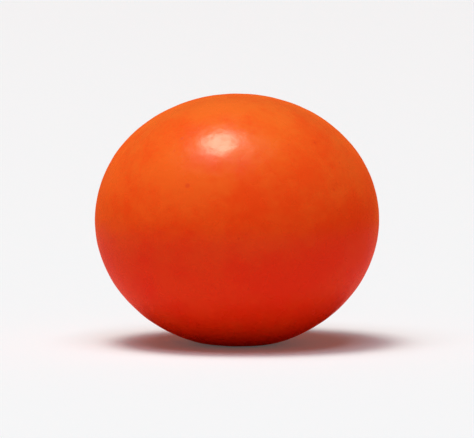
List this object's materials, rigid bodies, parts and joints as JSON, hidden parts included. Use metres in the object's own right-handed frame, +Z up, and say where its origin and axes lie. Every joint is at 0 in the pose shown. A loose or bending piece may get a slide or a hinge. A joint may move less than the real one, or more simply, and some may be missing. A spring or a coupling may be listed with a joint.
{
  "type": "orange gummy dragee",
  "caption": "Round panned sweet, a little wider than it is high: a chewy ball under a smooth, waxed orange sugar shell. It rests on a small flat underneath.",
  "frame": {"origin": "on the table, under the middle of the sweet, which stands on its small resting flat", "axes": "+X along the width, which is the longest extent; +Y along the depth, away from the picture's viewpoint; +Z up, which is the shortest extent"},
  "size_m": [0.0194, 0.0186, 0.0171],
  "materials": {
    "shell": "opaque orange sugar coat, polished with wax to a soft sheen"
  },
  "bodies": {
    "root": {"dragee": "shell"}
  },
  "joints": []
}
